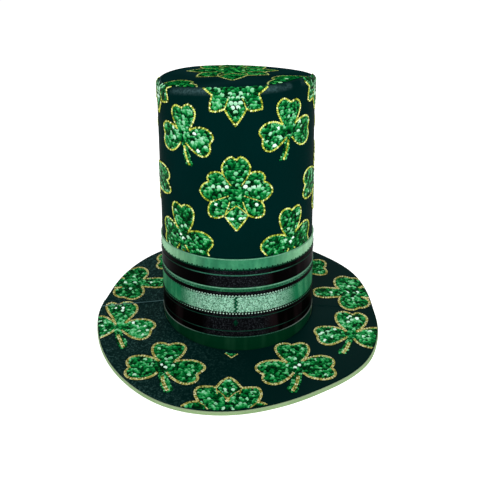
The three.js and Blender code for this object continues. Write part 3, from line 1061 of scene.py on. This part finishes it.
def band_ring(name, height, width, proud, material, slot):
    """A raised line round the band, with a rounded section."""
    azimuths = np.arange(0, 360, 1.5)
    section = [(-0.5, -0.1), (-0.42, 0.55), (0.0, 1.0), (0.42, 0.55), (0.5, -0.1)]
    rows = [band_point(azimuths, height + share * width, out * proud) for share, out in section]
    vertices = crown_to_world(np.vstack(rows))[0] * MM
    count = len(azimuths)
    faces = []
    for i in range(count):
        following = (i + 1) % count
        for row in range(len(section)):
            here, above = row * count, (row + 1) % len(section) * count
            faces.append((here + i, here + following, above + following, above + i))
    finish_piece(add_object(name, vertices.tolist(), faces), material)


def band_beads(name, marks, material, slot):
    """Small raised stitches on the band. Each mark has an azimuth, height, length, width and turn."""
    azimuths, heights, lengths, widths, turns = np.array(marks, float).T[:, :, None]
    point = band_point(azimuths[:, 0], heights[:, 0], STITCH_LIFT)
    away = outward(azimuths[:, 0])
    along = sideways(away)
    up = np.array([0.0, 0.0, 1.0])
    turns = np.radians(turns)
    first = along * np.cos(turns) + up * np.sin(turns)
    second = up * np.cos(turns) - along * np.sin(turns)
    point, first, second, away = crown_to_world(point, (first, second, away))
    axes = np.stack([first * lengths / 2, second * widths / 2, away * STITCH_PROUD], 1)
    finish_piece(stamp(name, *bead_shape(), point, axes), material)


def edge_marks(height, pitch, length, width, turn=0.0, span=180.0, jitter=0.0):
    """Marks for a row of stitches, over span degrees to each side, moved up and down by jitter."""
    count = int(2 * span / math.degrees(pitch / CROWN_BASE_RADIUS))
    return [
        (
            -span + (i + 0.5) * 2 * span / count, height + jitter * (1 if i % 2 else -1),
            length, width, turn,
        )
        for i in range(count)
    ]


# Building

def build_cloth():
    # The crown's cloth gets a painted highlight on its top edge, and the brim's a painted sheen on its
    # left
    crown_cloth = cloth_material("print_cloth_crown", (0, 27, 25), (0, 30, 29), 0.0015, edge_sheen=0.9)
    tip_cloth = cloth_material("print_cloth_tip", (2, 28, 27), (12, 38, 38), sheen=0.0)
    brim_cloth = cloth_material("print_cloth_brim", (0, 24, 22), (1, 27, 25), left_sheen=0.8)
    foam = foam_material()
    # Edges of more millimetres than the first number are cut as many times as the second one says
    for name, node, long_edge, cuts, material, slot in (
        ("crown_side_cloth", "crown_side", 40, 5, crown_cloth, "print_cloth"),
        ("crown_tip_cloth", "crown_tip", 400, 0, tip_cloth, "print_cloth"),
        ("brim_front_cloth", "brim_cover_front", 40, 9, brim_cloth, "print_cloth"),
        ("brim_back_cloth", "brim_cover_back", 40, 9, brim_cloth, "print_cloth"),
        ("brim_foam_ring", "brim_foam", 40, 5, foam, "foam"),
    ):
        piece = refined(name, node, long_edge, cuts)
        if node == "crown_side":
            mark_crest(piece)
        finish_piece(piece, material, node)
    # The left seam's fold is coloured lighter than the brim, a painted highlight along its ridge
    fold_highlight_cloth = cloth_material("print_cloth_fold_highlight", (44, 70, 72), (74, 104, 104))
    finish_piece(seam_fold("seam_fold_right", SEAM_RIGHT, 0.0, 0.0), brim_cloth)
    finish_piece(seam_fold("seam_fold_left", SEAM_LEFT, 0.85, SEAM_RIDGE), fold_highlight_cloth)


def mark_crest(piece):
    """Stores how near each place is to the crest of the crown's rounded edge, for the cloth's painted
    sheen.
    """
    points = (mesh_points(piece) - CROWN_ORIGIN) @ CROWN_TURN
    below = RIM(bearings(points)) - points[:, 2]
    crest, spread = 2.6, 4.2
    store_values(piece, "crest", np.clip(1.1 - np.abs(below - crest) / spread, 0, 1))


def seam_fold(name, azimuth, shift, level):
    """A folded edge of cloth along a seam of the brim. shift moves it sideways and level raises it."""
    half_width = 0.9
    turn = np.array([azimuth])
    foot = outward(turn) * (crown_radius(BRIM_TOP) + BAND_OUT + 1.2)
    foot[:, 2] = BRIM_TOP
    start = crown_to_world(foot)[0][0]
    end = outward(turn)[0] * (COVER_REACH(azimuth) - 0.5)
    heading = unit(np.array([end[0] - start[0], end[1] - start[1], 0.0]))
    across = np.array([-heading[1], heading[0], 0.0])
    section = ((-1.0, -0.15), (-0.6, 0.07), (0.0, 0.1), (0.6, 0.07), (1.0, -0.15))
    stations = 25
    vertices = []
    for share in np.linspace(0, 1, stations):
        middle = start + (end - start) * share + across * shift
        for side, up in section:
            place = middle + across * side * half_width
            place[2] = BRIM_TOP + level + up
            vertices.append((place * MM).tolist())
    width = len(section)
    corners = [i * width + j for i in range(stations - 1) for j in range(width - 1)]
    faces = [(corner, corner + width, corner + width + 1, corner + 1) for corner in corners]
    return add_object(name, vertices, faces)


def build_band():
    green = ribbon_material("ribbon_green", (50, 124, 88), (98, 158, 118), (142, 192, 152), bars=0.7)
    narrow = ribbon_material("ribbon_green_narrow", (34, 94, 62), (62, 116, 90), (60, 98, 78), bars=0.6)
    mint = ribbon_material("ribbon_mint", (104, 154, 128), (18, 104, 66), (24, 106, 68), 1.0, 0.8)
    dark = ribbon_material("ribbon_dark", (0, 42, 22), (0, 42, 22), (4, 52, 32), bars=0.06)
    satin = satin_material()
    for name, material, slot in (
        ("ribbon_top", green, "ribbon_green"),
        ("satin_upper", satin, "satin_black"),
        ("ribbon_narrow", narrow, "ribbon_green"),
        ("satin_middle", satin, "satin_black"),
        ("ribbon_mint", mint, "ribbon_mint"),
        ("satin_lower", satin, "satin_black"),
        ("ribbon_bottom", dark, "ribbon_dark"),
    ):
        node = "band_" + name
        finish_piece(refined(name, node, 12, 2), material, node)

    threads = {
        name: (thread_material("thread_" + name, *shades), slot)
        for name, slot, *shades in (
            ("green", "ribbon_green", (26, 86, 66), (60, 112, 92), (16, 46, 34)),
            ("fine", "ribbon_green", (8, 44, 34), (24, 60, 48), (8, 26, 20)),
            ("pale", "ribbon_mint", (10, 56, 40), (50, 92, 76), (92, 104, 98)),
            ("deep", "ribbon_dark", (0, 30, 18), (0, 50, 32)),
            ("black", "satin_black", (1, 3, 3), (4, 8, 8)),
            ("light", "ribbon_green", (80, 138, 108), (116, 172, 142), (92, 142, 114)),
            ("mint", "ribbon_mint", (150, 192, 170), (196, 228, 210), (40, 100, 72)),
            ("leaf", "ribbon_dark", (0, 60, 36), (10, 84, 54)),
        )
    }
    for name, height, width, proud, thread in (
        ("piping_upper", 87.2, 1.4, 0.5, "green"),
        ("piping_lower", 34.0, 1.0, 0.45, "fine"),
        ("piping_foot", 16.4, 1.1, 0.45, "fine"),
        ("edging_pale", 8.4, 1.2, 0.6, "pale"),
        ("narrow_edge", 71.2, 1.2, 0.4, "light"),
        ("top_edge", 106.4, 1.1, 0.35, "light"),
        ("top_foot", 93.6, 1.5, 0.3, "deep"),
        ("mint_edge_upper", 62.6, 2.4, 0.25, "black"),
        ("mint_edge_lower", 38.4, 2.4, 0.25, "black"),
    ):
        band_ring(name, height, width, proud, *threads[thread])

    seam = [
        (-1.3 + 0.45 * side, 42.6 + i * 2.4, 4.8, 2.7, 36 * side) for i, side in enumerate([-1, 1] * 4)
    ]
    knot = [(-1.5, 27.3, 6.4, 6.4, 45), (-1.5, 27.3, 4.0, 11.0, 0)]
    for name, marks, thread in (
        ("picot_top", edge_marks(94.6, 3.4, 2.2, 2.0, jitter=0.5), "deep"),
        ("picot_mint_upper", edge_marks(62.0, 3.6, 2.1, 1.8, span=70), "mint"),
        ("picot_mint_lower", edge_marks(39.0, 3.6, 2.1, 1.8, span=70), "mint"),
        ("stitches_mint_upper", edge_marks(60.3, 3.3, 2.2, 1.2, 18, 46), "black"),
        ("stitches_mint_lower", edge_marks(40.7, 3.3, 2.2, 1.2, -18, 46), "black"),
        ("stitches_narrow", edge_marks(68.4, 3.4, 2.1, 1.9, 30, jitter=0.4), "leaf"),
        ("seam_mint", seam, "leaf"),
        ("knot_foot", knot, "deep"),
    ):
        band_beads(name, marks, *threads[thread])


def build_print():
    green = sequin_material("sequin_green", 0.008)
    tip_green = sequin_material("sequin_green_tip", 0.0, (30, 150, 60), (80, 186, 88))
    gold, pale_gold, tip_gold = (gold_material(*row) for row in (
        ("gold_thread", 0.05, (66, 80, 8), (150, 162, 40), (210, 220, 100), (246, 250, 178)),
        ("gold_thread_pale", 0.08, (86, 78, 14), (150, 142, 62), (194, 190, 112), (238, 234, 190)),
        ("gold_thread_tip", 0.01, (64, 84, 20), (126, 146, 60), (168, 180, 94), (214, 222, 152)),
    ))
    flower = rosette()
    upper_flower = top_rosette()
    small_clover = clover(SHAMROCK_LEAVES, SHAMROCK_STEM, SHAMROCK_STEM_GOLD, SHAMROCK_GLINTS, 0.1)
    large_clover = clover(BIG_LEAVES, BIG_STEM, BIG_STEM_GOLD, BIG_GLINTS, -0.02, BIG_NODE)
    left_clover = clover(LEFT_LEAVES, LEFT_STEM, LEFT_STEM_GOLD, LEFT_GLINTS, 0.1, BIG_NODE)
    right_clover = clover(RIGHT_LEAVES, RIGHT_STEM, RIGHT_STEM_GOLD, RIGHT_GLINTS, 0.06, BIG_NODE)

    # Each motif with its place, and then its turn, scale, mirroring and narrowing, where it has them
    crown = Print("crown_print")
    for motif, azimuth, height, *change in (
        (flower, -0.3, 183.3, 0, 0.975),
        (flower, 143, 181),
        (flower, -150, 181),
        (upper_flower, -0.3, 297.7),
        (upper_flower, 144, 297.7),
        (upper_flower, -144, 297.7),
        (upper_flower, -70, 298, 0, 0.95),
        (upper_flower, 75, 298, 0, 0.95),
        (side_shamrock(1.27), -101, 180.5, -90, 1.47, True, 0.57),
        (side_shamrock(1.0), 88, 174.3, 90, 1.35, False, 0.65),
        (small_clover, -37.8, 241),
        (small_clover, 37.8, 246, 0, 1, True),
        (small_clover, -110, 249, -25, 1, True),
        (small_clover, 109, 248, 25),
        (small_clover, 180, 241),
        (small_clover, -112, 112, 0, 1, True),
        (small_clover, 114, 111),
        (large_clover, -42, 124, 4, 0.98, False, 0.88),
        (large_clover, 41.6, 119, -4, 0.98, True, 0.88),
        (large_clover, 180, 124, 0, 0.98, False, 0.88),
    ):
        crown.add(motif, on_crown(azimuth, height), *change)
    crown.build(green, gold)

    tip = Print("tip_print", relief=0.4)
    tip.add(star(), on_tip(-3.5, 27))
    tip.add(tip_leaf(), on_tip(0, 0))
    tip.add(tip_leaf(), on_tip(-7, 0), mirror=True)
    tip.build(tip_green, tip_gold)

    brim = Print("brim_print", wide=True)
    for motif, x, y, *change in (
        (large_clover, -83.1, -112.3),
        (large_clover, 68.7, -112.7, 0, 1, True),
        (left_clover, -144.8, -44.6),
        (right_clover, 138.5, -57.2, 0, 1, True),
        (large_clover, -74.5, 106.0, 96),
        (large_clover, 87.0, 90.0, -96, 1, True),
        (back_flower(), -139, 52.5),
        (back_flower(), 148, 29.7, 0, 1, True),
        (brim_rosette(), -9.5, -176),
        (brim_rosette(), 2, 176, 180),
        (triangle(), -6, -96.5),
    ):
        brim.add(motif, on_brim(x, y), *change)
    brim.build(green, pale_gold)


def build_studio():
    white = (1, 1, 1, 1)
    made = Nodes("studio_floor", Roughness=0.9, Specular_IOR_Level=0.0, Emission_Strength=0.42)
    made.shader.inputs["Emission Color"].default_value = white
    made.base(made.mix(made.noise(3, 1), (247, 247, 247), (249.3, 249.3, 249.3)))
    floor = add_object(
        "studio_floor", [(-6, -4, 0), (6, -4, 0), (6, 12, 0), (-6, 12, 0)], [(0, 1, 2, 3)], smooth=False
    )
    floor.data.materials.append(made.material)

    world = bpy.data.worlds.new("studio")
    bpy.context.scene.world = world
    world.use_nodes = True
    sky = world.node_tree.nodes["Background"]
    sky.inputs["Color"].default_value = white
    sky.inputs["Strength"].default_value = 0.55
    bpy.context.scene.view_settings.view_transform = "Standard"

    lights = (
        ("key", (-0.6, -1.5, 1.7), 1.2, 24),
        ("fill", (1.3, -0.9, 1.2), 1.0, 10),
        ("back", (0.2, 1.4, 1.6), 1.4, 12),
    )
    target = Vector((0, 0.0, 0.14))
    for name, place, size, power in lights:
        light = bpy.data.lights.new(name, "AREA")
        light.size = size
        light.energy = power
        lamp = placed(name, light)
        lamp.location = place
        lamp.rotation_euler = (target - Vector(place)).to_track_quat("-Z", "Y").to_euler()


def build_camera():
    frame_pixels = 480
    focal_pixels = 593
    middle_pixel = 236.7
    sensor = 36.0
    look_down = 30.8
    data = bpy.data.cameras.new("camera")
    data.sensor_width = sensor
    data.lens = sensor * focal_pixels / frame_pixels
    data.shift_x = (frame_pixels / 2 - middle_pixel) / frame_pixels
    data.clip_start = 0.02
    camera = placed("camera", data)
    camera.location = (0, -0.614, 0.4705)
    camera.rotation_euler = (math.radians(90 - look_down), 0, 0)
    bpy.context.scene.camera = camera


build_camera()
build_studio()
build_cloth()
build_band()
build_print()
